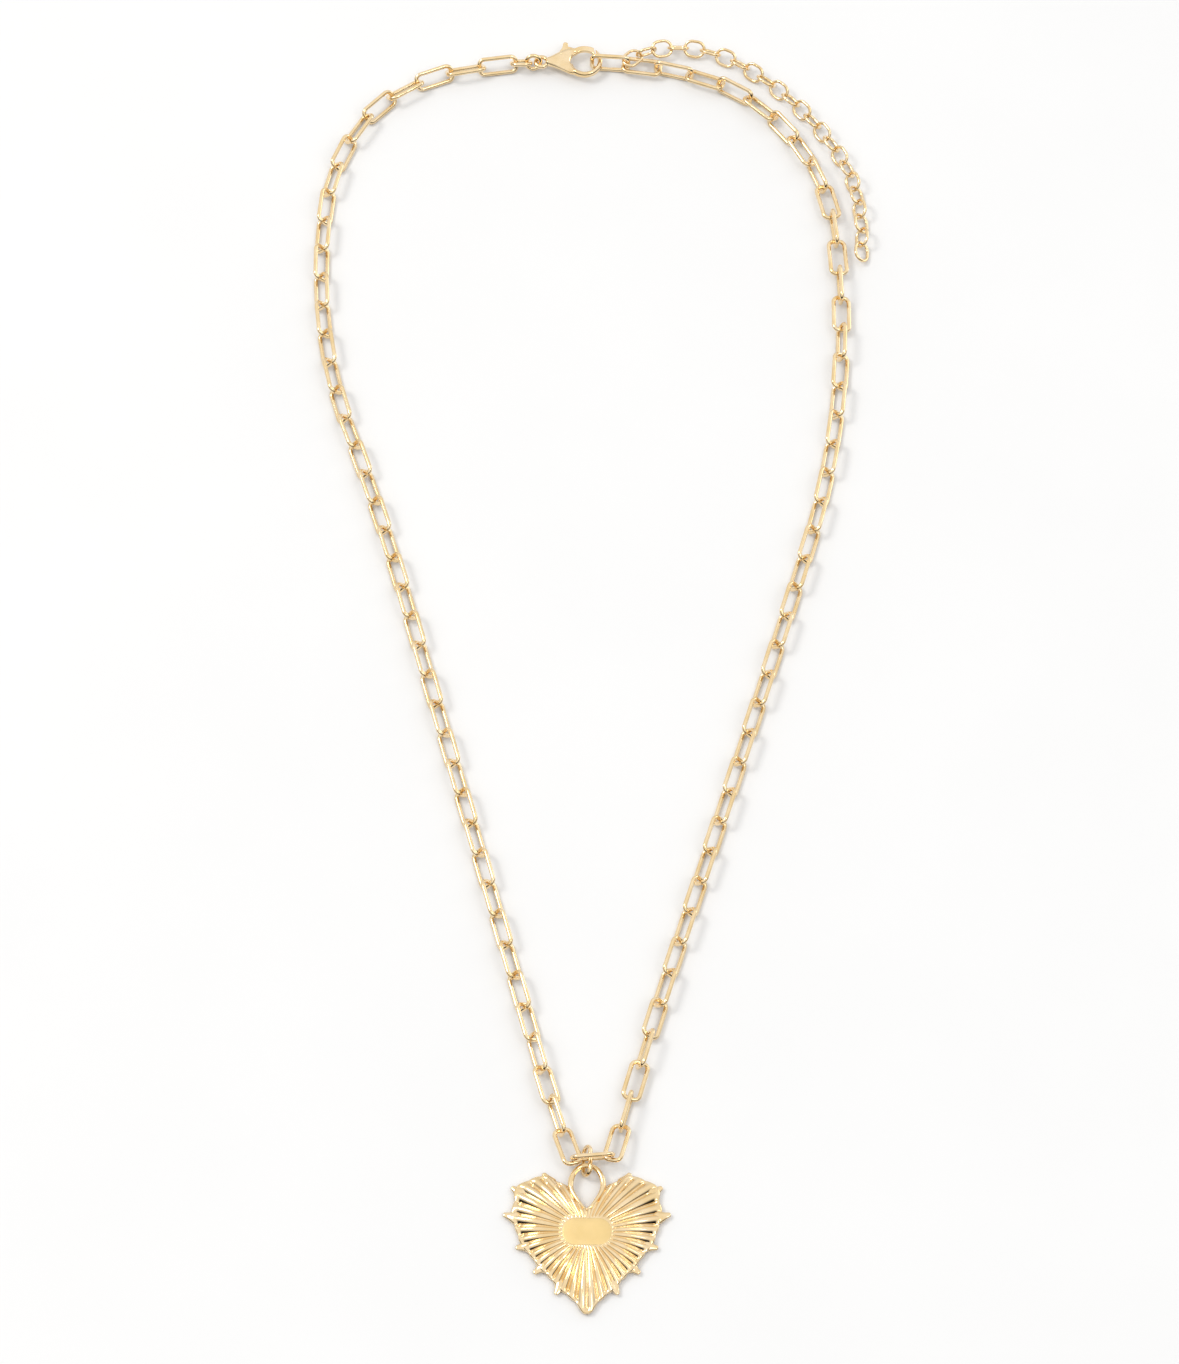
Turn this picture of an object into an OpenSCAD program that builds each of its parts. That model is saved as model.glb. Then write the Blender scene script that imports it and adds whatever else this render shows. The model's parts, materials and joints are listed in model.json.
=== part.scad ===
// Heart pendant on a paperclip chain, with a lobster clasp and an extender chain.
// Everything lies on the plane z = 0. +Y runs from the pendant to the clasp, +X to the wearer's
// extender side. Millimetres.

/* [Chain] */
// Length taken up by one long link
link_pitch = 4.77; // [4.5:0.01:5.2]
// Outer width of one long link
link_width = 2.9; // [2.7:0.05:3.2]
// Diameter of the long link's wire
link_wire = 0.62; // [0.5:0.01:0.7]
// Radius of the long link's corners, at the middle of the wire
link_corner = 0.8; // [0.6:0.05:1]
// Long links on each side of the centre link
strand_links = 41; // [41]
// Gap left between two wires that hang in each other
wire_gap = 0.04; // [0.02:0.01:0.08]
// Gap left between the loose rings at the clasp
loose_gap = 0.08; // [0.05:0.01:0.12]

/* [Extender chain] */
// Length taken up by one small link
small_pitch = 2.4; // [2.2:0.05:2.8]
// Outer width of one small link
small_width = 2.7; // [2.5:0.05:3]
// Diameter of the small link's wire
small_wire = 0.45; // [0.35:0.01:0.5]
// Small links in the extender
extender_count = 24; // [24]

/* [Pendant] */
// Thickness of the heart's base plate
heart_base = 1; // [0.8:0.1:1.2]
// Thickness of the heart over its rays
heart_thickness = 1.9; // [1.7:0.1:2.2]
// Number of rays round the heart
ray_count = 40; // [24:4:48]
// Diameter of the heart's hanging arch wire
arch_wire = 0.8; // [0.6:0.05:0.9]

/* [Rings] */
// Diameter of the jump ring wire
ring_wire = 0.6; // [0.5:0.05:0.65]

/* [Clasp] */
// Thickness of the clasp
clasp_thickness = 1.3; // [1.2:0.05:1.35]
// Outer radius of the clasp's hook
hook_outer = 2.75; // [2.6:0.05:3]
// Radius of the clasp's opening
hook_inner = 1.65; // [1.5:0.05:1.75]

/* [Hidden] */
$fn = 48;

function two_digits(k) = k < 10 ? str("0", k) : str(k);

links_per_run = 3;
strand_runs = ceil(strand_links / links_per_run);
extender_runs = extender_count / links_per_run;

gold = [0.93, 0.78, 0.45];

// Moves the layout so that the middle of its box lies on the Z axis.
layout_shift = [-0.2, -5.7, 0];
// Height of a cutting tool that passes right through a piece.
cut_height = 4;

// ---- Wire shapes ----

link_r = link_wire / 2;
link_half = link_width / 2 - link_r;
link_reach = link_pitch / 2 + link_r + wire_gap / 2;
small_r = small_wire / 2;
small_half = small_width / 2 - small_r;
small_reach = small_pitch / 2 + small_r + wire_gap / 2;

// A bar of round wire along X, centred on the origin.
module bar(length, r) {
    rotate([0, 90, 0])
        cylinder(h = length, r = r, center = true);
}

// A closed rounded-rectangle loop of round wire, flat in XY, long side along X. reach and half are
// the half length and half width at the middle of the wire.
module wire_loop(reach, half, corner, r) {
    for (s = [-1, 1])
        translate([0, s * half, 0])
            bar(2 * (reach - corner), r);
    for (s = [-1, 1])
        translate([s * reach, 0, 0])
            rotate([0, 0, 90])
                bar(2 * (half - corner), r);
    for (sx = [0, 1], sy = [0, 1])
        mirror([sx, 0, 0])
            mirror([0, sy, 0])
                translate([reach - corner, half - corner, 0])
                    rotate_extrude(angle = 90)
                        translate([corner, 0])
                            circle(r = r);
}

// The same loop with half-round ends.
module oval_loop(reach, half, r) {
    for (s = [0, 1])
        mirror([s, 0, 0])
            translate([reach - half, 0, 0])
                rotate([0, 0, -90])
                    rotate_extrude(angle = 180)
                        translate([half, 0])
                            circle(r = r);
    for (s = [-1, 1])
        translate([0, s * half, 0])
            bar(2 * (reach - half), r);
}

// Places a loop at a point, turned to a heading, sloped and rolled about its long axis.
module lay(place, heading, roll, slope = 0) {
    translate(place)
        rotate([0, -slope, heading])
            rotate([roll, 0, 0])
                children();
}

module long_link() {
    wire_loop(link_reach, link_half, link_corner, link_r);
}

module small_link() {
    oval_loop(small_reach, small_half, small_r);
}

// ---- Centre link, pendant ring and heart places ----

center_place = [0.4, -72.4, 2.08];
center_heading = 5;
center_roll = 102;

arch_place = [-0.35, -73.2, 1.1];
heart_arch_y = 9.8;

ring_r = ring_wire / 2;
pendant_ring_reach = 2;
pendant_ring_half = 0.92;
pendant_ring_roll = 120;
pendant_ring_place = [-0.35, -72.6, 1.12];

// ---- Strand routes ----

// Headings of the links, counted from the centre link: [link number, degrees]
left_turns = [[0, 108], [3, 105], [12, 105], [18, 105], [24, 109], [28, 96], [32, 84], [35, 59],
              [37, 32], [39, 11], [40, 8]];
right_turns = [[0, 75], [6, 73], [12, 73], [20, 74], [24, 82], [28, 90], [31, 96], [33, 112],
               [36, 137], [38, 160], [40, 172]];

// Twist of the chain along its length: [link number, degrees]
left_twists = [[0, 10], [5, 45], [36, 45], [40, 50]];
right_twists = [[0, -10], [5, 45], [25, 45], [29, 5], [32, 5], [35, 40], [38, 20], [40, 0]];

function link_roll(twists, i) = lookup(i, twists) + 90 * (i % 2);
// Height of a link's middle: the chain rests on the lowest bars of its steeper links, and a flat
// link sits on its upright neighbours.
flat_drop = 0.3;
function resting_height(half, r, roll) =
    r + half * max(abs(sin(roll)), abs(cos(roll))) - flat_drop * max(0, cos(2 * roll));

first_climb = 1.85;
function link_height(twists, i) = resting_height(link_half, link_r, link_roll(twists, i));

// Plan positions of the joints between the links.
function walk(start, turns, count, pitch) = [
    for (i = 0, p = start; i <= count;
         p = p + pitch * [cos(lookup(i, turns)), sin(lookup(i, turns))], i = i + 1) p];

// A strand's first link hangs round the upright end of the centre link at a sharp angle.
function strand_start(side, heading) =
    [center_place[0], center_place[1]]
    + side * link_reach * [cos(center_heading), sin(center_heading)]
    - (link_r + wire_gap / 2) * [cos(heading), sin(heading)];
left_joints = walk(strand_start(-1, left_turns[0][1]), left_turns, strand_links, link_pitch);
right_joints = walk(strand_start(1, right_turns[0][1]), right_turns, strand_links, link_pitch);

module strand_link(joints, turns, twists, i) {
    middle = (joints[i] + joints[i + 1]) / 2;
    climb = i == 0 ? first_climb - link_height(twists, 0) : 0;
    lay([middle[0], middle[1], link_height(twists, i) + climb / 2],
        lookup(i, turns), link_roll(twists, i), -asin(climb / link_pitch))
        long_link();
}

module strand_run(joints, turns, twists, k) {
    first = (k - 1) * links_per_run;
    last = min(first + links_per_run, strand_links) - 1;
    color(gold)
        translate(layout_shift)
            for (i = [first:last])
                strand_link(joints, turns, twists, i);
}

// ---- Clasp end places ----

clasp_level = 1.41;
clasp_link_reach = 1.4;
clasp_link_half = 0.9;
clasp_link_roll = -40;
clasp_link_sag = 0.1;
clasp_ring_radius = 1.05;
clasp_ring_roll = 60;
eye_radius = 0.85;
eye_r = 0.32;

left_end = left_joints[strand_links];
left_end_heading = 2;
left_end_along = [cos(left_end_heading), sin(left_end_heading)];

// Each ring's middle lies past the joint by its inner half length.
clasp_link_middle = left_end + (clasp_link_reach - ring_r - loose_gap / 2) * left_end_along;
clasp_ring_middle = clasp_link_middle
    + (clasp_link_reach + clasp_ring_radius - 2 * ring_r - loose_gap) * left_end_along;
eye_middle = clasp_ring_middle
    + (clasp_ring_radius + eye_radius - ring_r - eye_r - loose_gap) * left_end_along;
clasp_heading = 0;

right_end = right_joints[strand_links];
end_ring_wire = 0.65;
end_ring_r = end_ring_wire / 2;
end_ring_reach = 2.65;
end_ring_half = 1.15;
end_ring_corner = 0.7;
end_ring_roll = 70;
end_ring_heading = 176;
end_ring_along = [cos(end_ring_heading), sin(end_ring_heading)];
end_ring_middle = right_end + (end_ring_reach - end_ring_r - wire_gap / 2) * end_ring_along;
// The last long link hangs low in the end ring and the first small link hangs high.
end_ring_split = 0.45;

// ---- Extender route ----

extender_turns = [[0, 42], [1, 20], [4, -8], [7, -34], [9, -40], [13, -53], [16, -62], [19, -80],
                  [23, -94]];
extender_twists = [[0, 0], [3, 40], [23, 50]];
extender_start_height = clasp_level + end_ring_split * sin(end_ring_roll);
// The first links come down evenly from the end ring; the rest lie on the plane.
extender_rest_link = 6;
function small_rest(i) = resting_height(small_half, small_r, link_roll(extender_twists, i));
extender_drop = (extender_start_height - small_rest(extender_rest_link)) / extender_rest_link;
function extender_height(i) = i >= extender_rest_link ? small_rest(i)
    : extender_start_height - extender_drop * i;
function extender_slope(i) = i > 0 && i < extender_rest_link ? -asin(extender_drop / small_pitch) : 0;
// The first small link hangs round the end ring's bar.
end_bar = right_end - (end_ring_r + wire_gap / 2) * end_ring_along
    + end_ring_split * cos(end_ring_roll) * [0, 1];
extender_start = end_bar
    - (end_ring_r + wire_gap / 2) * [cos(extender_turns[0][1]), sin(extender_turns[0][1])];
extender_joints = walk(extender_start, extender_turns, extender_count, small_pitch);

module extender_run(k) {
    first = (k - 1) * links_per_run;
    color(gold)
        translate(layout_shift)
            for (i = [first:first + links_per_run - 1]) {
                middle = (extender_joints[i] + extender_joints[i + 1]) / 2;
                lay([middle[0], middle[1], extender_height(i)],
                    lookup(i, extender_turns), link_roll(extender_twists, i), extender_slope(i))
                    small_link();
            }
}

// ---- Heart ----

// Right half of the heart's outline, about the middle of its plate, from the arch to the tip.
heart_side = [[2.3, 6.9], [4.2, 8], [5.9, 8.5], [7.4, 8.3], [8.8, 7.5], [9.7, 6.3], [10, 4.5],
              [9.9, 2.6], [9.5, 0.8], [8.9, -0.7], [8.1, -2], [7.1, -3.3], [5.9, -4.7],
              [4.6, -6.2], [3.3, -7.7], [2.1, -9], [1.1, -9.9]];
heart_tip = [0, -11.3];
// Tips of the points that stand out under the rim, right half.
heart_points = [[5.8, 8.9], [10, 6.9], [11.1, 3], [9.4, -1.8], [7, -5.4], [4.1, -8.4]];
point_length = 1.6;
point_level = 0.5;
point_root_r = 0.48;
point_tip_r = 0.3;

heart_outline = concat(
    [for (p = heart_side) p],
    [heart_tip],
    [for (i = [len(heart_side) - 1:-1:0]) [-heart_side[i][0], heart_side[i][1]]]
);

// Distance from the middle to the outline along a direction.
function crossing(a, p, q) =
    let (d = [cos(a), sin(a)], e = q - p, den = d[0] * e[1] - d[1] * e[0])
    abs(den) < 0.0001 ? 0
        : let (t = (p[0] * e[1] - p[1] * e[0]) / den, w = (p[0] * d[1] - p[1] * d[0]) / den)
          t > 0 && w >= 0 && w <= 1 ? t : 0;
function rim_distance(a) =
    max([for (i = [0:len(heart_outline) - 2]) crossing(a, heart_outline[i], heart_outline[i + 1])]);

opening_radius = 1.7;
opening_y = 7.3;
opening_foot = 3.7;
// Where the opening's straight sides meet its round top, as parts of the top's radius.
opening_side = 0.9;
opening_drop = 0.44;
plate_length = 6.4;
plate_height = 3.7;
plate_corner = 1.5;
ray_root = 2.4;
ray_root_r = 0.17;
ray_end_r = 0.62;
// The ray's end radius holds at this distance from the middle, and grows in proportion.
ray_full_reach = 9;
// Rays stop short of the rim, and none is cut where the rim is this near.
ray_inset = 0.25;
shortest_ray = 4;
ray_spread = 360 / ray_count;
arch_r = arch_wire / 2;
arch_radius = 1.75;
arch_leg_splay = 10;
arch_leg_length = 1.8;

module heart_opening() {
    translate([0, opening_y])
        circle(r = opening_radius);
    polygon([[-opening_radius * opening_side, opening_y - opening_radius * opening_drop], [0, opening_foot],
             [opening_radius * opening_side, opening_y - opening_radius * opening_drop]]);
}

module rounded_plate(length, height, corner) {
    square([length - 2 * corner, height], center = true);
    square([length, height - 2 * corner], center = true);
    for (sx = [-1, 1], sy = [-1, 1])
        translate([sx * (length / 2 - corner), sy * (height / 2 - corner)])
            circle(r = corner);
}

module heart_ray(a) {
    reach = rim_distance(a) - ray_inset;
    width = (reach / ray_full_reach) * ray_end_r;
    rotate([0, 0, a])
        translate([ray_root, 0, heart_base])
            rotate([0, 90, 0])
                cylinder(h = reach - ray_root, r1 = ray_root_r, r2 = width);
}

module heart_point(tip) {
    a = atan2(tip[1], tip[0]);
    distance = norm(tip);
    rotate([0, 0, a])
        translate([distance - point_length, 0, point_level])
            rotate([0, 90, 0])
                cylinder(h = point_length, r1 = point_root_r, r2 = point_tip_r);
}

module heart_arch() {
    translate([0, heart_arch_y - arch_radius, arch_place[2]]) {
        rotate_extrude(angle = 180)
            translate([arch_radius, 0])
                circle(r = arch_r);
        for (s = [-1, 1])
            translate([s * arch_radius, 0, 0])
                rotate([90, 0, s * arch_leg_splay])
                    cylinder(h = arch_leg_length, r = arch_r);
    }
}

// The arch's crown wire lies over arch_place.
module pendant_heart() {
    color(gold)
        translate(layout_shift + [arch_place[0], arch_place[1] - heart_arch_y, 0]) {
            difference() {
                union() {
                    linear_extrude(height = heart_base)
                        polygon(heart_outline);
                    for (k = [0:ray_count - 1])
                        if (rim_distance((k + 0.5) * ray_spread) > shortest_ray)
                            heart_ray((k + 0.5) * ray_spread);
                }
                translate([0, 0, -cut_height / 4])
                    linear_extrude(height = cut_height)
                        heart_opening();
            }
            linear_extrude(height = heart_thickness)
                rounded_plate(plate_length, plate_height, plate_corner);
            for (s = [0, 1])
                mirror([s, 0, 0])
                    for (tip = heart_points)
                        heart_point(tip);
            heart_arch();
        }
}

// ---- Pendant ring and centre link ----

module pendant_ring() {
    color(gold)
        translate(layout_shift)
            lay(pendant_ring_place, 90, pendant_ring_roll)
                oval_loop(pendant_ring_reach, pendant_ring_half, ring_r);
}

module center_link() {
    color(gold)
        translate(layout_shift)
            lay(center_place, center_heading, center_roll)
                long_link();
}

// ---- Clasp ----

slot_gap = 0.03;
lever_thickness = 0.62;
// Clearance round the opening, and how far the lever runs into the body past the body's edge.
lever_relief = 0.05;
lever_overlap_angle = 12;
lever_boss_r = 0.5;
hook_middle = 6.3;
hook_tip_angle = 55;
gate_tip_angle = 14;
body_edge_angle = 118;
// The lever's tip and the hook's tip meet on a curve about the pin, so the tip swings in freely.
gate_reach = 4.95;
tip_gap = 0.1;
pin_place = [2.9, 1.15];
pin_r = 0.25;
pin_clearance = 0.03;
knob_place = [3.5, 2.95];
knob_r = 0.5;
spring_place = [2.05, 0.62, 0];
spring_angle = 60;
spring_size = [0.9, 0.12, 0.5];

module clasp_place() {
    color(gold)
        translate(layout_shift + [eye_middle[0], eye_middle[1], clasp_level])
            rotate([0, 0, clasp_heading])
                children();
}

// A flat ring sector about the hook's middle.
module sector(inner, outer, from, to) {
    steps = 12;
    far = outer * 1.3;
    translate([hook_middle, 0])
        intersection() {
            difference() {
                circle(r = outer);
                circle(r = inner);
            }
            polygon(concat([[0, 0]],
                [for (i = [0:steps]) far * [cos(from + (to - from) * i / steps),
                                            sin(from + (to - from) * i / steps)]]));
        }
}

module body_shape() {
    difference() {
        union() {
            polygon([[0.55, -0.75], [hook_middle - 1.3, -2.42], [hook_middle, 0],
                     [hook_middle - 1.3, 2.42], [2.6, 2.05], [0.55, 0.75]]);
            sector(0, hook_outer, body_edge_angle, 180);
            sector(0, hook_outer, 180, 270);
            hook_end();
        }
        translate([hook_middle, 0])
            circle(r = hook_inner);
    }
}

// The free end of the hook, cut back round the lever's tip.
module hook_end() {
    sector(0, hook_outer, 270, 360);
    difference() {
        sector(0, hook_outer, 0, hook_tip_angle);
        translate(pin_place)
            circle(r = gate_reach + tip_gap);
    }
}

// The hollow that the lever and its spring work in.
module slot_shape() {
    polygon([[1.7, 0.3], [2.6, -0.35], [hook_middle - 1.2, -0.35], [hook_middle, 3.2], [2.2, 3.2]]);
}

module eye_ring() {
    rotate_extrude()
        translate([eye_radius, 0])
            circle(r = eye_r);
}

module pin_hole(r) {
    translate([pin_place[0], pin_place[1], 0])
        cylinder(h = cut_height, r = r, center = true);
}

module clasp_body() {
    clasp_place() {
        difference() {
            translate([0, 0, -clasp_thickness / 2])
                linear_extrude(height = clasp_thickness)
                    body_shape();
            translate([0, 0, -lever_thickness / 2 - slot_gap])
                linear_extrude(height = lever_thickness + 2 * slot_gap)
                    slot_shape();
            pin_hole(pin_r);
            cylinder(h = cut_height, r = eye_radius, center = true);
        }
        eye_ring();
    }
}

module lever_shape() {
    intersection() {
        sector(hook_inner + lever_relief, hook_outer, gate_tip_angle,
               body_edge_angle + lever_overlap_angle);
        translate(pin_place)
            circle(r = gate_reach);
    }
    polygon([[2.5, 0.85], [3.3, 0.75], [hook_middle - 2, 0.9], [hook_middle - 1.35, 1.45],
             [hook_middle - 1.1, 2.4], [3.1, 2.6], [2.45, 1.4]]);
    translate(pin_place)
        circle(r = lever_boss_r);
    polygon([[3.1, 2.2], [3.9, 2.2], [3.9, 2.9], [3.2, 2.9]]);
    translate(knob_place)
        circle(r = knob_r);
}

module clasp_lever() {
    clasp_place()
        difference() {
            translate([0, 0, -lever_thickness / 2])
                linear_extrude(height = lever_thickness)
                    lever_shape();
            pin_hole(pin_r + pin_clearance);
        }
}

module clasp_pin() {
    clasp_place()
        translate([pin_place[0], pin_place[1], 0])
            cylinder(h = clasp_thickness, r = pin_r, center = true);
}

// A flat leaf spring behind the lever's heel.
module clasp_spring() {
    clasp_place()
        translate(spring_place)
            rotate([0, 0, spring_angle])
                cube(spring_size, center = true);
}

module clasp_link() {
    color(gold)
        translate(layout_shift)
            lay([clasp_link_middle[0], clasp_link_middle[1], clasp_level - clasp_link_sag],
                left_end_heading, clasp_link_roll)
                oval_loop(clasp_link_reach, clasp_link_half, ring_r);
}

module clasp_ring() {
    color(gold)
        translate(layout_shift)
            lay([clasp_ring_middle[0], clasp_ring_middle[1], clasp_level],
                left_end_heading, clasp_ring_roll)
                rotate_extrude()
                    translate([clasp_ring_radius, 0])
                        circle(r = ring_r);
}

module end_ring() {
    color(gold)
        translate(layout_shift)
            lay([end_ring_middle[0], end_ring_middle[1], clasp_level],
                end_ring_heading - 180, end_ring_roll)
                wire_loop(end_ring_reach, end_ring_half, end_ring_corner, end_ring_r);
}

pendant_heart();
pendant_ring();
center_link();
for (k = [1:strand_runs]) {
    strand_run(left_joints, left_turns, left_twists, k);
    strand_run(right_joints, right_turns, right_twists, k);
}
clasp_link();
clasp_ring();
clasp_body();
clasp_lever();
clasp_pin();
clasp_spring();
end_ring();
for (k = [1:extender_runs])
    extender_run(k);
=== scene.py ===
"""Looks of a heart pendant necklace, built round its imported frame. Metres; shapes are given in mm."""
import json
import math
import random

import bmesh
import bpy
import numpy as np
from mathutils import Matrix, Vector

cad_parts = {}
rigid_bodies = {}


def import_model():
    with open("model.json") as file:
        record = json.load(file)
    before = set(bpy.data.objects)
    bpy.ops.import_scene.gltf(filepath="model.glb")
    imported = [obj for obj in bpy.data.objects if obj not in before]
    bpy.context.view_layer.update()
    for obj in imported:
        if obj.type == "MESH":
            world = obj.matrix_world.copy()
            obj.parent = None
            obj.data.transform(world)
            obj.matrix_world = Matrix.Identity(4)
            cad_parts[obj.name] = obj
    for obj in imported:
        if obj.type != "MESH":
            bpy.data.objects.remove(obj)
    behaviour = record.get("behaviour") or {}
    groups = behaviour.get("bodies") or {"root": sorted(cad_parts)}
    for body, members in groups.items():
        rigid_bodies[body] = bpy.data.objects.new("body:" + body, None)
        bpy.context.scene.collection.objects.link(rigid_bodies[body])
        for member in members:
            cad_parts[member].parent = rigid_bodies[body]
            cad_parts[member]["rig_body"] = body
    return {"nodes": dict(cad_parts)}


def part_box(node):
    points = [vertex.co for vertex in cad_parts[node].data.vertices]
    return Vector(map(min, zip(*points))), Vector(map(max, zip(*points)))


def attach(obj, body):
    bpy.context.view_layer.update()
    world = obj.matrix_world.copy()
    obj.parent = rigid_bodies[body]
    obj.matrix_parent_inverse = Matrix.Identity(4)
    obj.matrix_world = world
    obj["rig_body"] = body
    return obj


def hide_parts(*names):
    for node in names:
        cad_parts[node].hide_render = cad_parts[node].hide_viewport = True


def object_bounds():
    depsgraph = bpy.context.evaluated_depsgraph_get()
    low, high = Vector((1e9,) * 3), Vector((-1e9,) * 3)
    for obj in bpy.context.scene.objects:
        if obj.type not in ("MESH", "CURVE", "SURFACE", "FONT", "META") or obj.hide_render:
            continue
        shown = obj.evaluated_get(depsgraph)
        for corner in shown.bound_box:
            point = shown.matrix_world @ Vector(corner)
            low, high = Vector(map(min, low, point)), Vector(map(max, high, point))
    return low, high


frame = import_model()
cad_low, cad_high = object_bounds()
MM = 0.001
rng = random.Random(7)
body_of = {n: o["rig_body"] for n, o in frame["nodes"].items()}


def new_object(name, data):
    made = bpy.data.objects.new(name, data)
    bpy.context.scene.collection.objects.link(made)
    return made


def face_out(mesh):
    """Turns every face of a closed mesh outwards."""
    work = bmesh.new()
    work.from_mesh(mesh)
    bmesh.ops.recalc_face_normals(work, faces=work.faces)
    work.to_mesh(mesh)
    work.free()


# ---- Reading the frame ----

def mesh_arrays(node):
    """A CAD node's points in mm, merged where they coincide, and its triangles."""
    mesh = frame["nodes"][node].data
    points = np.empty(len(mesh.vertices) * 3)
    mesh.vertices.foreach_get("co", points)
    points = points.reshape(-1, 3) / MM
    mesh.calc_loop_triangles()
    tris = np.empty(len(mesh.loop_triangles) * 3, int)
    mesh.loop_triangles.foreach_get("vertices", tris)
    merged, index = np.unique(np.round(points, 4), axis=0, return_inverse=True)
    return merged, index.reshape(-1)[tris.reshape(-1, 3)]


def solids(node):
    """Each closed solid of a node: its middle, and its long, wide and thin axes."""
    points, tris = mesh_arrays(node)
    group = np.arange(len(points))
    while True:
        least = group[tris].min(1)
        fresh = group.copy()
        for k in range(3):
            np.minimum.at(fresh, tris[:, k], least)
        fresh = fresh[fresh]
        if (fresh == group).all():
            break
        group = fresh
    found = []
    for g in np.unique(group[tris[:, 0]]):
        corner = points[tris[group[tris[:, 0]] == g]]
        edge_1, edge_2 = corner[:, 1] - corner[:, 0], corner[:, 2] - corner[:, 0]
        area = np.linalg.norm(np.cross(edge_1, edge_2), axis=1) / 2
        middle = (corner.mean(1) * area[:, None]).sum(0) / area.sum()
        arm = corner - middle
        face = arm.mean(1)
        spread = (np.einsum("t,ti,tj->ij", area * 9, face, face)
                  + np.einsum("t,tki,tkj->ij", area, arm, arm)) / 12
        axes = np.linalg.eigh(spread)[1][:, ::-1].T
        if axes[0][1] < 0:
            axes[0] *= -1
        if axes[2][2] < 0:
            axes[2] *= -1
        axes[1] = np.cross(axes[2], axes[0])
        found.append((middle, axes))
    return sorted(found, key=lambda s: (round(s[0][1], 2), round(s[0][0], 2)))


# ---- Materials ----

def noise(tree, coords, scale, detail, place):
    node = tree.nodes.new("ShaderNodeTexNoise")
    node.location = place
    node.inputs["Scale"].default_value = scale
    node.inputs["Detail"].default_value = detail
    tree.links.new(coords.outputs["Object"], node.inputs["Vector"])
    return node


def ramp(tree, source, low, high, from_low=0.35, from_high=0.65):
    node = tree.nodes.new("ShaderNodeValToRGB")
    node.color_ramp.elements[0].position = from_low
    node.color_ramp.elements[0].color = low
    node.color_ramp.elements[1].position = from_high
    node.color_ramp.elements[1].color = high
    tree.links.new(source, node.inputs["Fac"])
    return node


def grey(v):
    return (v, v, v, 1)


def bump(tree, height, distance):
    node = tree.nodes.new("ShaderNodeBump")
    node.inputs["Strength"].default_value = 1.0
    node.inputs["Distance"].default_value = distance
    tree.links.new(height, node.inputs["Height"])
    return node


def new_material(name):
    mat = bpy.data.materials.new(name)
    mat.use_nodes = True
    return mat, mat.node_tree, mat.node_tree.nodes["Principled BSDF"]


CLOUD_SCALE, SMEAR_SCALE = 420, 1500
COAT_ROUGHNESS = 0.05


def metal(name, dark, light, polish, grain, ripple, lacquer=0.0):
    """Metal with a cloudy tint, uneven polish, fine grain and a slow ripple, and lacquer if asked.
    polish is its least and most roughness; grain and ripple are each a noise scale and a height."""
    mat, tree, shader = new_material(name)
    shader.inputs["Metallic"].default_value = 1.0
    shader.inputs["Coat Weight"].default_value = lacquer
    shader.inputs["Coat Roughness"].default_value = COAT_ROUGHNESS
    coords = tree.nodes.new("ShaderNodeTexCoord")
    cloud = noise(tree, coords, CLOUD_SCALE, 3, (-900, 300))
    tint = ramp(tree, cloud.outputs["Fac"], dark, light)
    tree.links.new(tint.outputs["Color"], shader.inputs["Base Color"])
    smear = noise(tree, coords, SMEAR_SCALE, 5, (-900, 0))
    sheen = ramp(tree, smear.outputs["Fac"], grey(polish[0]), grey(polish[1]))
    tree.links.new(sheen.outputs["Color"], shader.inputs["Roughness"])
    fine = bump(tree, noise(tree, coords, grain[0], 2, (-900, -300)).outputs["Fac"], grain[1])
    slow = bump(tree, noise(tree, coords, ripple[0], 1, (-900, -600)).outputs["Fac"], ripple[1])
    tree.links.new(fine.outputs["Normal"], slow.inputs["Normal"])
    tree.links.new(slow.outputs["Normal"], shader.inputs["Normal"])
    return mat


GOLD = metal("polished_gold", (0.85, 0.62, 0.31, 1), (0.93, 0.73, 0.45, 1),
             polish=(0.08, 0.16), grain=(9000, 0.0000004), ripple=(700, 0.000006), lacquer=0.9)
SATIN = metal("satin_gold", (0.80, 0.595, 0.275, 1), (0.84, 0.63, 0.305, 1),
              polish=(0.42, 0.50), grain=(14000, 0.000003), ripple=(700, 0.000003))
STEEL = metal("spring_steel", (0.52, 0.52, 0.52, 1), (0.62, 0.61, 0.60, 1),
              polish=(0.28, 0.40), grain=(9000, 0.000002), ripple=(900, 0.000004))


# ---- Mesh making ----

BOX_MARGIN = 0.004
BOX_LOW = np.array(cad_low) / MM + BOX_MARGIN
BOX_HIGH = np.array(cad_high) / MM - BOX_MARGIN


class Shape:
    """Points and faces gathered in mm, then made into one piece inside the necklace's box."""

    def __init__(self):
        self.points = []
        self.faces = []
        self.slots = []

    def add(self, points, faces, slot=0):
        base = len(self.points)
        self.points.extend(tuple(p) for p in points)
        self.faces.extend(tuple(base + i for i in f) for f in faces)
        self.slots.extend([slot] * len(faces))

    def piece(self, name, body, nodes, materials=(GOLD,)):
        mesh = bpy.data.meshes.new(name)
        inside = np.clip(np.array(self.points), BOX_LOW, BOX_HIGH) * MM
        mesh.from_pydata(inside.tolist(), [], self.faces)
        for m in materials:
            mesh.materials.append(m)
        mesh.polygons.foreach_set("material_index", self.slots)
        mesh.polygons.foreach_set("use_smooth", [True] * len(mesh.polygons))
        face_out(mesh)
        made = new_object(name, mesh)
        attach(made, body)
        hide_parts(*nodes)


CAP_STEPS = (0.5, 0.8, 0.95)


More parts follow.
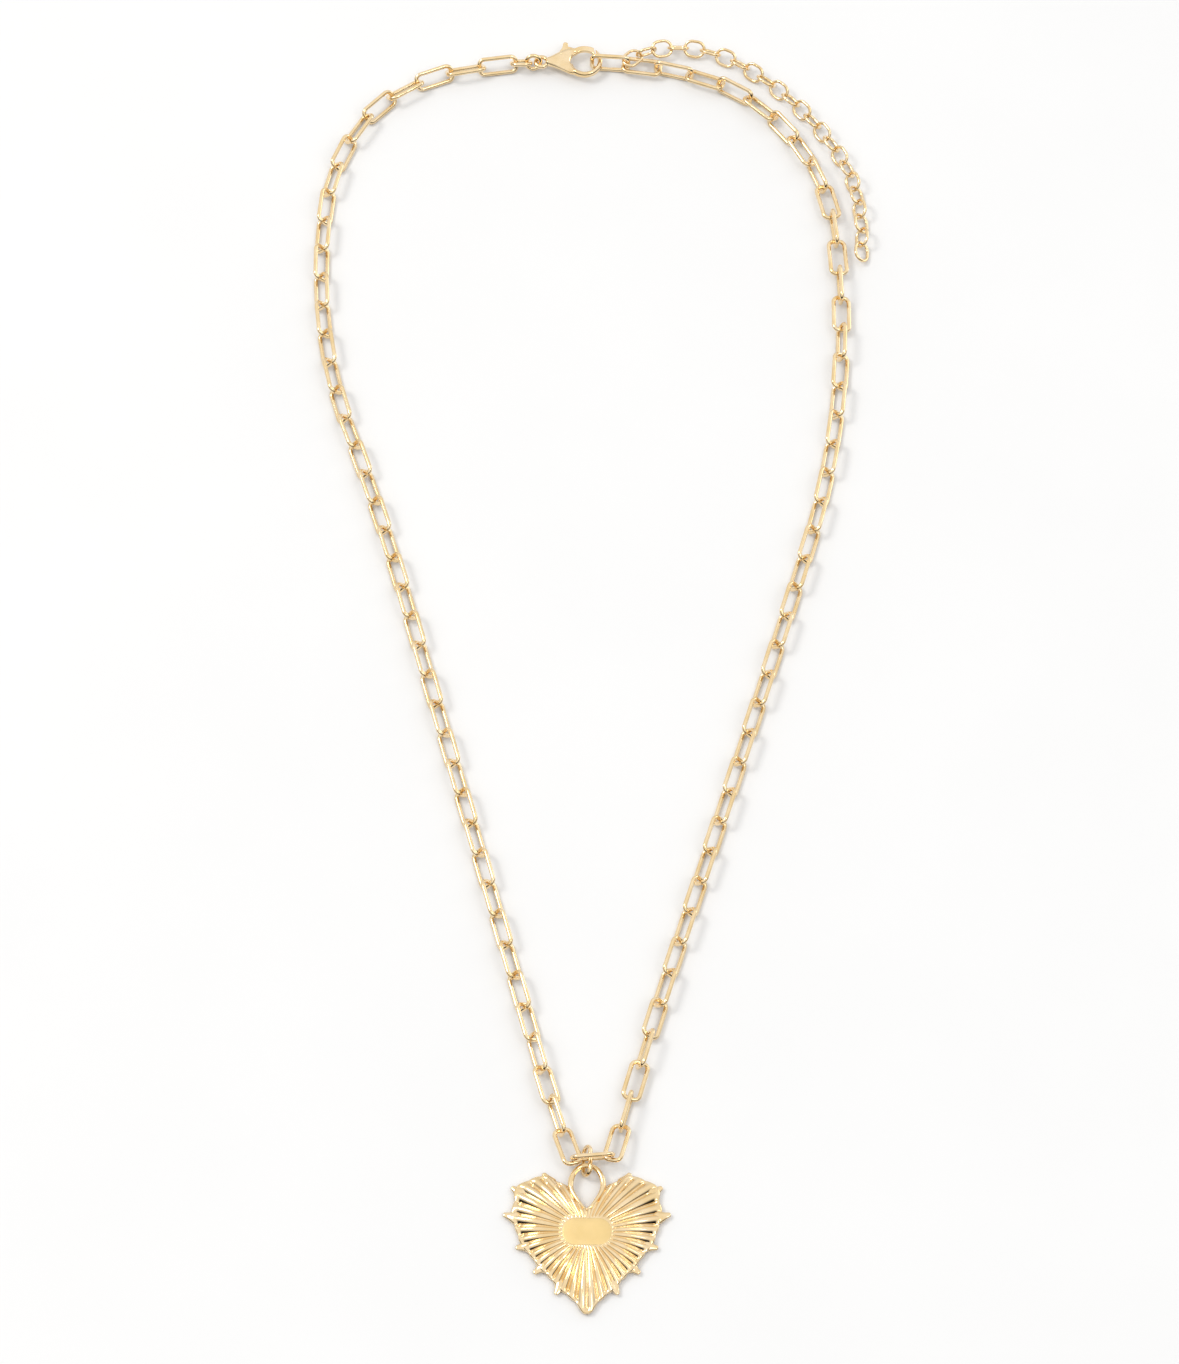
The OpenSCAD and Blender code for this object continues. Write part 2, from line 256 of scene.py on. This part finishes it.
def tube(shape, path, radius, up, sides=18, closed=True, flat=1.0, cap=1.0):
    """A wire along a path. up is the normal of the path's plane; radius may change along it.
    flat is its height as a part of its width, and cap the length of its rounded ends likewise."""
    path = np.asarray(path, float)
    count = len(path)
    radius = np.broadcast_to(np.asarray(radius, float), (count,))
    if closed:
        along = np.roll(path, -1, 0) - np.roll(path, 1, 0)
    else:
        along = np.gradient(path, axis=0)
    along /= np.linalg.norm(along, axis=1)[:, None]
    side = np.cross(along, up)
    side /= np.linalg.norm(side, axis=1)[:, None]
    over = np.cross(side, along)
    turn = np.linspace(0, 2 * math.pi, sides, endpoint=False)
    rings = (path[:, None] + radius[:, None, None] * (np.cos(turn)[None, :, None] * side[:, None]
             + flat * np.sin(turn)[None, :, None] * over[:, None]))
    points = list(rings.reshape(-1, 3))
    faces = []
    for i in range(count if closed else count - 1):
        j = (i + 1) % count
        for k in range(sides):
            n = (k + 1) % sides
            faces.append((i * sides + k, i * sides + n, j * sides + n, j * sides + k))
    if not closed:
        for end, sign in ((0, -1), (count - 1, 1)):
            last = [end * sides + k for k in range(sides)]
            for step in CAP_STEPS:
                grow = math.sqrt(1 - step * step)
                ring = (path[end] + sign * along[end] * radius[end] * step * cap
                        + (rings[end] - path[end]) * grow)
                base = len(points)
                points.extend(ring)
                fresh = [base + k for k in range(sides)]
                for k in range(sides):
                    n = (k + 1) % sides
                    faces.append((last[k], last[n], fresh[n], fresh[k]))
                last = fresh
            faces.append(tuple(last))
    shape.add(points, faces)


SHORT_SIDE_STEPS = 3


def loop_path(middle, axes, reach, half, corner, straight=8, bend=9):
    """Middle line of a closed link with rounded corners, in space and in the link's own plane."""
    flat = []
    for sx, sy, start in ((1, 1, 0), (-1, 1, 90), (-1, -1, 180), (1, -1, 270)):
        for i in range(bend):
            a = math.radians(start + 90 * i / (bend - 1))
            flat.append((sx * (reach - corner) + corner * math.cos(a),
                         sy * (half - corner) + corner * math.sin(a)))
        x0, y0 = flat[-1]
        ahead = {0: (-(reach - corner), half), 90: (-reach, -(half - corner)),
                 180: (reach - corner, -half), 270: (reach, half - corner)}[start]
        steps = straight if start in (0, 180) else SHORT_SIDE_STEPS
        for i in range(1, steps):
            t = i / steps
            flat.append((x0 + (ahead[0] - x0) * t, y0 + (ahead[1] - y0) * t))
    flat = np.array(flat)
    keep = np.linalg.norm(flat - np.roll(flat, 1, 0), axis=1) > 1e-4
    flat = flat[keep]
    return middle + flat[:, :1] * axes[0] + flat[:, 1:] * axes[1], flat


def seam(flat, radius, at, side, width=0.13, depth=0.05):
    """The wire's radius, a little thinner at the soldered joint in one long side."""
    gap = np.abs(flat[:, 0] - at)
    there = (flat[:, 1] * side > 0) & (gap < 3 * width)
    return radius * (1 - depth * np.where(there, np.exp(-(gap / width) ** 2), 0))


# ---- Chains ----

LINK_R, LINK_REACH, LINK_HALF, LINK_CORNER = 0.31, 2.715, 1.14, 0.8
SMALL_R, SMALL_REACH, SMALL_HALF = 0.225, 1.445, 1.125
GENTLE_TURN, SEAM_SHIFT = 0.5, 0.3
LINK_SIDES, RING_SIDES = 16, 20


def turned(axes, degrees):
    """Axes rolled a little about the long one."""
    a = math.radians(degrees)
    return np.array([axes[0], axes[1] * math.cos(a) + axes[2] * math.sin(a),
                     axes[2] * math.cos(a) - axes[1] * math.sin(a)])


def links(shape, node, reach, half, corner, radius):
    for middle, axes in solids(node):
        axes = turned(axes, rng.uniform(-GENTLE_TURN, GENTLE_TURN))
        path, flat = loop_path(middle, axes, reach, half, corner)
        wire = seam(flat, radius, rng.uniform(-SEAM_SHIFT, SEAM_SHIFT), rng.choice((-1, 1)))
        tube(shape, path, wire, axes[2], LINK_SIDES)


for node in sorted(frame["nodes"]):
    if "_links_" in node:
        run = Shape()
        if node.startswith("extender"):
            links(run, node, SMALL_REACH, SMALL_HALF, SMALL_HALF, SMALL_R)
        else:
            links(run, node, LINK_REACH, LINK_HALF, LINK_CORNER, LINK_R)
        run.piece(node.replace("links", "chain"), body_of[node], [node])


# ---- Rings ----

CUT_WIDTH, CUT_DEPTH = 0.07, 0.16


def jump_ring(name, node, reach, half, radius, corner=None):
    """A bent ring with the fine cut where its two ends meet."""
    middle, axes = solids(node)[0]
    path, flat = loop_path(middle, axes, reach, half, corner or half)
    ring = Shape()
    tube(ring, path, seam(flat, radius, 0, 1, CUT_WIDTH, CUT_DEPTH), axes[2], RING_SIDES)
    ring.piece(name, body_of[node], [node])


jump_ring("center_link_wire", "center_link", LINK_REACH, LINK_HALF, LINK_R, LINK_CORNER)
jump_ring("pendant_jump_ring", "pendant_ring", 2.0, 0.92, 0.3)
jump_ring("clasp_connector", "clasp_link", 1.4, 0.9, 0.3)
jump_ring("clasp_jump_ring", "clasp_ring", 1.05, 1.05, 0.3)
jump_ring("end_ring_wire", "end_ring", 2.65, 1.15, 0.325, 0.7)


# ---- Heart ----

heart_low, heart_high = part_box("pendant_heart")
HEART_TIP = 11.3
HEART_X = (heart_low.x + heart_high.x) / 2 / MM
HEART_Y = heart_low.y / MM + HEART_TIP
HEART_SIDE = [(0.0, 3.5), (0.55, 3.95), (1.25, 4.95), (1.9, 6.0), (2.35, 6.95), (3.6, 7.5), (4.9, 8.2),
              (5.6, 8.65), (6.6, 8.35), (8.1, 7.7), (9.5, 6.95), (9.65, 6.2), (9.6, 4.9), (9.95, 3.6),
              (10.1, 2.8), (9.65, 1.5), (9.2, 0.1), (8.85, -1.0), (8.5, -1.7), (7.6, -2.8), (6.8, -3.9),
              (6.25, -4.8), (5.2, -5.75), (4.3, -6.8), (3.7, -7.6), (2.6, -8.5), (1.5, -9.5),
              (0.95, -10.4), (0.45, -11.1), (0.0, -11.3)]
HEART_POINTS = [(5.8, 8.9), (10.0, 6.9), (11.1, 3.0), (9.4, -1.8), (7.0, -5.4), (4.1, -8.4)]
RAYS = 40
PLATE_LONG, PLATE_TALL, PLATE_CORNER = 3.2, 1.9, 1.7
POINT_FLAT = 0.46
PLATE_TOP, RIM_TOP, BACK = 1.84, 0.72, 0.06
ANGLES, STEPS = RAYS * 14, 44
CREST_POWER, SCALLOP, FULL_SPAN, SWELL = 0.75, 0.16, 5.5, 0.10
GROOVE_IN, GROOVE_GAIN, GROOVE_FADE = 0.20, 0.36, 0.10
RECESS = 0.12
# The plate's rounded step: each ring's share of the plate's size, and how far it stands up.
PLATE_RINGS = [(1.0, 0.0), (0.99, 0.02), (0.97, 0.03), (0.6, 0.03), (0.3, 0.03)]


def rim(a):
    """Distance from the heart's middle to its outline; a = 0 points up."""
    d = (abs(math.sin(a)), math.cos(a))
    best = 0.0
    for (px, py), (qx, qy) in zip(HEART_SIDE, HEART_SIDE[1:]):
        ex, ey = qx - px, qy - py
        den = d[0] * ey - d[1] * ex
        if abs(den) < 1e-9:
            continue
        t = (px * ey - py * ex) / den
        w = (px * d[1] - py * d[0]) / den
        if t > 0 and -1e-6 <= w <= 1 + 1e-6:
            best = max(best, t)
    return best


def plate_edge(a):
    """Distance to the blank plate's edge, a rounded rectangle."""
    x, y = abs(math.sin(a)), abs(math.cos(a))
    lo, hi = 0.0, 6.0
    for _ in range(30):
        r = (lo + hi) / 2
        qx = max(x * r - (PLATE_LONG - PLATE_CORNER), 0)
        qy = max(y * r - (PLATE_TALL - PLATE_CORNER), 0)
        if math.hypot(qx, qy) <= PLATE_CORNER:
            lo = r
        else:
            hi = r
    return lo


def smooth(t):
    t = min(max(t, 0.0), 1.0)
    return t * t * (3 - 2 * t)


def heart_front(heart):
    turns = [2 * math.pi * i / ANGLES for i in range(ANGLES)]
    raw = np.array([rim(a) for a in turns])
    soft = sum(np.roll(raw, k) for k in range(-3, 4)) / 7
    from_top = [math.degrees(min(a, 2 * math.pi - a)) for a in turns]
    keep_sharp = np.array([smooth(1 - abs(off) / 9) for off in from_top])
    outline = np.minimum(raw * keep_sharp + soft * (1 - keep_sharp), raw + 0.15)
    points, faces = [], []
    for i, a in enumerate(turns):
        phase = (i / (ANGLES / RAYS)) % 1.0
        crest = abs(math.sin(math.pi * phase)) ** CREST_POWER
        inner, outer = plate_edge(a), outline[i]
        outer -= SCALLOP * (1 - crest)
        span = max(outer - inner, 0.3)
        room = min(1.0, span / FULL_SPAN)
        dx, dy = math.sin(a), math.cos(a)
        for j in range(STEPS + 1):
            t = j / STEPS
            r = inner + span * t
            dome = PLATE_TOP - (PLATE_TOP - RIM_TOP) * room * (0.22 * t + 0.78 * t ** 3.2)
            swell = SWELL * math.sin(math.pi * t) * room
            ends = smooth(t / GROOVE_FADE) * (1 - smooth((t - (1 - GROOVE_FADE)) / GROOVE_FADE))
            groove = (GROOVE_IN + GROOVE_GAIN * t) * room * ends
            points.append((dx * r, dy * r, dome + swell - groove * (1 - crest)))
        edge = points[-1]
        points.append((dx * (outer + 0.05), dy * (outer + 0.05), edge[2] - 0.14))
        points.append((dx * (outer + 0.03), dy * (outer + 0.03), BACK + 0.14))
        points.append((dx * (outer - 0.12), dy * (outer - 0.12), BACK))
        points.append((dx * (outer - 0.55), dy * (outer - 0.55), BACK))
        points.append((dx * (outer - 0.70), dy * (outer - 0.70), BACK + RECESS))
        points.append((dx * 0.5 * inner, dy * 0.5 * inner, BACK + RECESS))
    row = STEPS + 7
    for i in range(ANGLES):
        n = (i + 1) % ANGLES
        for j in range(row - 1):
            faces.append((i * row + j, i * row + j + 1, n * row + j + 1, n * row + j))
    base = len(points)
    points.append((0, 0, BACK + RECESS))
    faces += [(base, i * row + row - 1, ((i + 1) % ANGLES) * row + row - 1)
              for i in range(ANGLES)]
    heart.add([(x + HEART_X, y + HEART_Y, z) for x, y, z in points], faces)
    # The blank plate: a level satin face with a fine rounded step down to the rays.
    plate, cells = [], []
    for scale, lift in PLATE_RINGS:
        for a in turns:
            r = plate_edge(a) * scale
            plate.append((math.sin(a) * r + HEART_X, math.cos(a) * r + HEART_Y,
                          PLATE_TOP + lift))
    last = len(PLATE_RINGS) - 1
    for k in range(last):
        for i in range(ANGLES):
            n = (i + 1) % ANGLES
            cells.append((k * ANGLES + i, k * ANGLES + n,
                          (k + 1) * ANGLES + n, (k + 1) * ANGLES + i))
    plate.append((HEART_X, HEART_Y, PLATE_TOP + PLATE_RINGS[-1][1]))
    top = len(plate) - 1
    cells += [(top, last * ANGLES + i, last * ANGLES + (i + 1) % ANGLES) for i in range(ANGLES)]
    heart.add(plate, cells, 1)


def smooth_path(knots, count):
    """A Catmull-Rom curve through the knots."""
    knots = np.array(knots, float)
    ends = np.vstack([2 * knots[0] - knots[1], knots, 2 * knots[-1] - knots[-2]])
    out = []
    for u in np.linspace(0, len(knots) - 1 - 1e-9, count):
        i, t = int(u), u - int(u)
        p0, p1, p2, p3 = ends[i:i + 4]
        out.append(0.5 * (2 * p1 + (p2 - p0) * t + (2 * p0 - 5 * p1 + 4 * p2 - p3) * t * t
                          + (3 * p1 - p0 - 3 * p2 + p3) * t ** 3))
    return np.array(out)


# One side of the arch from its foot up: across, along, height, and the wire's radius there.
ARCH_SIDE = [(0.28, 3.45, 1.50, 0.14), (0.75, 4.0, 1.48, 0.20), (1.4, 4.95, 1.38, 0.26),
             (1.95, 6.0, 1.24, 0.33), (2.15, 7.0, 1.14, 0.38), (2.0, 8.0, 1.1, 0.40),
             (1.5, 9.0, 1.1, 0.34), (0.8, 9.56, 1.1, 0.34)]


def heart_arch(heart):
    knots = ARCH_SIDE + [(0.0, 9.74, 1.1, 0.34)] + [(-x, y, z, r) for x, y, z, r in ARCH_SIDE[::-1]]
    curve = smooth_path(knots, 90)
    path = curve[:, :3] + (HEART_X, HEART_Y, 0)
    tube(heart, path, curve[:, 3], (0, 0, 1), 18, closed=False)


def heart_points(heart):
    """Small blunt points, broad at the root, that stand out under the rim."""
    for side in (-1, 1):
        for x, y in HEART_POINTS:
            a = math.atan2(y, side * x)
            out = np.array([math.cos(a), math.sin(a), 0])
            tip = np.array([side * x + HEART_X, y + HEART_Y, 0.5])
            path = np.array([tip - out * back for back in np.linspace(2.1, 0.22, 12)])
            width = np.interp(np.linspace(0, 1, 12), [0, 0.25, 0.5, 0.75, 1],
                              [0.8, 0.95, 0.72, 0.48, 0.34])
            tube(heart, path, width, (0, 0, 1), 18, closed=False, flat=POINT_FLAT, cap=0.7)


heart = Shape()
heart_front(heart)
heart_arch(heart)
heart_points(heart)
heart.piece("heart_casting", body_of["pendant_heart"], ["pendant_heart"], (GOLD, SATIN))


# ---- Clasp ----

eye_low, eye_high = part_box("clasp_body")
EYE_RING, EYE_WIRE = 0.85, 0.32
HOOK_X, HOOK_IN, HOOK_OUT, THICK = 6.3, 1.65, 2.75, 1.3
PIN, LEVER_REACH = (2.9, 1.15), 4.9
EYE = np.array([eye_low.x / MM + EYE_RING + EYE_WIRE, eye_low.y / MM + HOOK_OUT,
                (eye_low.z + eye_high.z) / 2 / MM])
UNDER_EDGE = [(0.6, -0.5), (1.8, -0.88), (3.1, -1.5), (4.1, -2.02)]
UPPER_EDGE = [(4.9, 2.3), (3.9, 2.3), (2.6, 1.75), (0.6, 0.5)]
BODY_VOXEL, LEVER_VOXEL, SOFTEN = 0.045, 0.04, 8
DOME = 0.42


def place(points):
    """Moves points given from the middle of the clasp's eye to where the clasp lies."""
    return [(x + EYE[0], y + EYE[1], z + EYE[2]) for x, y, z in points]


def temp_object(shape):
    mesh = bpy.data.meshes.new("blank")
    mesh.from_pydata(shape.points, [], shape.faces)
    face_out(mesh)
    return new_object("blank", mesh)


def cast(shape, cutters, voxel):
    """Joins closed forms into one soft-edged casting, cuts others away, and gives points and faces."""
    blank = temp_object(shape)
    merge = blank.modifiers.new("merge", "REMESH")
    merge.mode = "VOXEL"
    merge.voxel_size = voxel
    tools = []
    for cutter in cutters:
        tool = temp_object(cutter)
        tools.append(tool)
        cut = blank.modifiers.new("cut", "BOOLEAN")
        cut.operation = "DIFFERENCE"
        cut.solver = "EXACT"
        cut.object = tool
    again = blank.modifiers.new("again", "REMESH")
    again.mode = "VOXEL"
    again.voxel_size = voxel
    soften = blank.modifiers.new("soften", "SMOOTH")
    soften.factor = 0.5
    soften.iterations = SOFTEN
    deps = bpy.context.evaluated_depsgraph_get()
    done = blank.evaluated_get(deps).to_mesh()
    points = [tuple(v.co) for v in done.vertices]
    faces = [tuple(p.vertices) for p in done.polygons]
    for o in [blank] + tools:
        bpy.data.objects.remove(o)
    return points, faces


def slab(outline, low, high, edge):
    """A flat form with rounded edges from an outline that runs round its middle."""
    outline = np.array(outline, float)
    ahead = np.roll(outline, -1, 0) - np.roll(outline, 1, 0)
    out = np.stack([ahead[:, 1], -ahead[:, 0]], 1)
    out /= np.linalg.norm(out, axis=1)[:, None]
    following = np.roll(outline, -1, 0)
    area = (outline[:, 0] * following[:, 1] - following[:, 0] * outline[:, 1]).sum()
    out *= 1 if area > 0 else -1
    shape, n = Shape(), len(outline)
    curve = [(edge * (1 - math.sin(a)), edge * (1 - math.cos(a)))
             for a in map(math.radians, (90, 60, 30, 0))]
    levels = ([(low + rise, inset) for rise, inset in curve]
              + [(high - rise, inset) for rise, inset in curve[::-1]])
    points = [(p[0] - o[0] * inset, p[1] - o[1] * inset, z) for z, inset in levels
              for p, o in zip(outline, out)]
    faces = [(k * n + i, k * n + (i + 1) % n, (k + 1) * n + (i + 1) % n, (k + 1) * n + i)
             for k in range(len(levels) - 1) for i in range(n)]
    faces += [tuple(range(n)), tuple((len(levels) - 1) * n + i for i in range(n))]
    shape.add(points, faces)
    return shape


def arc(cx, cy, r, start, end, count):
    turns = [math.radians(start + (end - start) * i / count) for i in range(count + 1)]
    return [(cx + r * math.cos(a), cy + r * math.sin(a)) for a in turns]


def clasp_body():
    half = THICK / 2
    body = Shape()
    wall = slab(UNDER_EDGE + arc(HOOK_X, 0, HOOK_OUT, 232, 195, 4)[:1]
                + arc(HOOK_X, 0, HOOK_IN, 232, 128, 24) + UPPER_EDGE, -half, half, 0.5)
    body.add(wall.points, wall.faces)
    ring = [(EYE_RING * math.cos(a), EYE_RING * math.sin(a), 0)
            for a in np.linspace(0, 2 * math.pi, 40, endpoint=False)]
    tube(body, ring, EYE_WIRE, (0, 0, 1), 16)
    # The hook's wire: where its middle runs round the opening, and how it thins to a beak.
    turn = np.linspace(215, 410, 56)
    middle = np.interp(turn, [215, 270, 330, 378, 400, 410], [2.17, 2.22, 2.24, 2.28, 2.47, 2.6])
    hook = [(HOOK_X + m * math.cos(math.radians(a)), m * math.sin(math.radians(a)), 0)
            for a, m in zip(turn, middle)]
    thin = np.interp(turn, [215, 260, 330, 378, 400, 410], [0.52, 0.42, 0.40, 0.38, 0.22, 0.11])
    tube(body, hook, thin, (0, 0, 1), 20, closed=False, flat=1.3)
    slot = slab([(1.9, 0.35), (2.7, -0.30), (HOOK_X - 1.2, -0.30), (HOOK_X, 3.4), (2.2, 3.4)],
                -0.34, 0.34, 0.05)
    hole = slab(arc(0, 0, EYE_RING - EYE_WIRE, 0, 351, 39), -1, 1, 0.01)
    mouth = slab(arc(HOOK_X, 0, HOOK_IN, 0, 352, 44), -1, 1, 0.01)
    points, faces = cast(body, [slot, hole, mouth, flare(1), flare(-1)], BODY_VOXEL)
    made = Shape()
    made.add(place([domed(p) for p in points]), faces)
    made.piece("clasp_casting", body_of["clasp_body"], ["clasp_body"])


def flare(side):
    """A cutter that dishes the edge of the opening on the body's side of one face."""
    profile = [(1.5, 0.0), (1.66, 0.12), (1.76, 0.32), (1.98, 0.5), (2.3, 0.62), (2.5, 0.9),
               (0.02, 0.9), (0.02, 0.0)]
    steps, rows, cutter = 40, len(profile), Shape()
    turns = [2 * math.pi * i / steps for i in range(steps)]
    points = [(HOOK_X - 0.3 + r * math.cos(a), r * math.sin(a), side * z)
              for r, z in profile for a in turns]
    faces = [(k * steps + i, k * steps + (i + 1) % steps,
              (k + 1) % rows * steps + (i + 1) % steps, (k + 1) % rows * steps + i)
             for k in range(rows) for i in range(steps)]
    cutter.add(points, faces)
    return cutter


def domed(point):
    """Rounds the flat faces of the clasp's body down towards its long edges."""
    x, y, z = point
    if x > HOOK_X - 1.2:
        return point
    top = np.interp(x, [0.6, 2.6, 3.9, 5.1], [0.5, 1.75, 2.3, 2.35])
    under = np.interp(x, [0.6, 1.8, 3.1, 4.1, 5.1], [-0.5, -0.88, -1.5, -2.02, -2.4])
    off = (y - (top + under) / 2) / ((top - under) / 2)
    fade = smooth((HOOK_X - 1.2 - x) / 0.8) * smooth((x - 0.9) / 0.6)
    return (x, y, z * (1 - DOME * fade * min(off * off, 1.0)))


def clasp_lever():
    outline = (arc(HOOK_X, 0, HOOK_OUT - 0.05, 58, 122, 22) + [(4.3, 2.45), (3.9, 2.6)]
               + arc(3.5, 2.97, 0.40, -15, 195, 14)
               + [(2.95, 2.3), (2.5, 1.6), (2.45, 0.95), (3.2, 0.78), (HOOK_X - 2.1, 0.95)]
               + arc(HOOK_X, 0, HOOK_IN + 0.12, 138, 40, 26) + arc(*PIN, LEVER_REACH, 0, 13, 6))
    body = slab(outline, -0.31, 0.31, 0.16)
    made = Shape()
    points, faces = cast(body, [], LEVER_VOXEL)
    made.add(place(points), faces)
    made.piece("clasp_lever_cast", body_of["clasp_lever"], ["clasp_lever"])


def clasp_pin():
    """A riveted pin: a round rod with domed ends."""
    rod = Shape()
    path = place([(*PIN, z) for z in np.linspace(-0.44, 0.44, 6)])
    tube(rod, path, 0.24, (0, 1, 0), 20, closed=False)
    rod.piece("clasp_rivet", body_of["clasp_pin"], ["clasp_pin"])


clasp_body()
clasp_lever()
clasp_pin()
spring = frame["nodes"]["clasp_spring"]
spring.data.materials.clear()
spring.data.materials.append(STEEL)


# ---- Floor, light and camera ----

FLOOR_REACH, FLOOR_GAP = 3.0, 0.00002


def floor():
    mat, tree, shader = new_material("pale_floor")
    shader.inputs["Roughness"].default_value = 0.9
    shader.inputs["Specular IOR Level"].default_value = 0.15
    coords = tree.nodes.new("ShaderNodeTexCoord")
    cloud = noise(tree, coords, 30, 3, (-900, 0))
    tint = ramp(tree, cloud.outputs["Fac"], grey(0.84), grey(0.85))
    tree.links.new(tint.outputs["Color"], shader.inputs["Base Color"])
    mesh = bpy.data.meshes.new("floor")
    reach = FLOOR_REACH
    corners = [(-reach, -reach, 0), (reach, -reach, 0), (reach, reach, 0), (-reach, reach, 0)]
    mesh.from_pydata(corners, [], [(0, 1, 2, 3)])
    mesh.materials.append(mat)
    made = new_object("floor", mesh)
    made.location.z = cad_low.z - FLOOR_GAP


def area(name, place_at, size, power, colour=(1, 1, 1)):
    """A soft box that faces the middle of the necklace."""
    light = bpy.data.lights.new(name, "AREA")
    light.shape = "RECTANGLE"
    light.size, light.size_y = size
    light.energy = power
    light.color = colour
    made = new_object(name, light)
    made.location = place_at
    made.rotation_euler = (-Vector(place_at)).to_track_quat("-Z", "Y").to_euler()


def world():
    """A pale studio tent, with dark card low in front and at the sides for the metal to show."""
    sky = bpy.data.worlds.new("studio")
    sky.use_nodes = True
    tree = sky.node_tree
    back = tree.nodes["Background"]
    coords = tree.nodes.new("ShaderNodeTexCoord")
    split = tree.nodes.new("ShaderNodeSeparateXYZ")
    tree.links.new(coords.outputs["Generated"], split.inputs["Vector"])
    height = ramp(tree, split.outputs["Z"], grey(0.015), grey(1.0), 0.33, 0.62)
    front = tree.nodes.new("ShaderNodeMath")
    front.operation = "MULTIPLY_ADD"
    front.inputs[1].default_value = 0.5
    front.inputs[2].default_value = 0.5
    tree.links.new(split.outputs["Y"], front.inputs[0])
    rear = ramp(tree, front.outputs["Value"], grey(0.0), grey(0.8), 0.34, 0.62)
    mix = tree.nodes.new("ShaderNodeMix")
    mix.data_type = "RGBA"
    mix.blend_type = "SCREEN"
    mix.inputs["Factor"].default_value = 1.0
    tree.links.new(height.outputs["Color"], mix.inputs["A"])
    tree.links.new(rear.outputs["Color"], mix.inputs["B"])
    tree.links.new(mix.outputs["Result"], back.inputs["Color"])
    back.inputs["Strength"].default_value = 1.03
    bpy.context.scene.world = sky


AIM = Vector((-0.2 * MM, -5.7 * MM, 0))
ELEVATION, DISTANCE, LENS, SENSOR = math.radians(62), 831.45 * MM, 158.36, 36


def camera():
    data = bpy.data.cameras.new("camera")
    data.lens = LENS
    data.sensor_width = SENSOR
    data.clip_start, data.clip_end = 0.05, 20
    made = new_object("camera", data)
    made.location = AIM + Vector((0, -math.cos(ELEVATION), math.sin(ELEVATION))) * DISTANCE
    made.rotation_euler = (AIM - made.location).to_track_quat("-Z", "Y").to_euler()
    bpy.context.scene.camera = made


WARM = (1.0, 0.985, 0.95)

floor()
world()
area("key", (-0.8, 0.25, 1.1), (0.42, 0.42), 5.0, WARM)
area("strip", (0.55, -0.35, 1.2), (0.1, 0.7), 1.4)
area("card", (0.95, 0.5, 0.22), (0.5, 0.3), 0.9, WARM)
camera()
bpy.context.scene.view_settings.view_transform = "Standard"
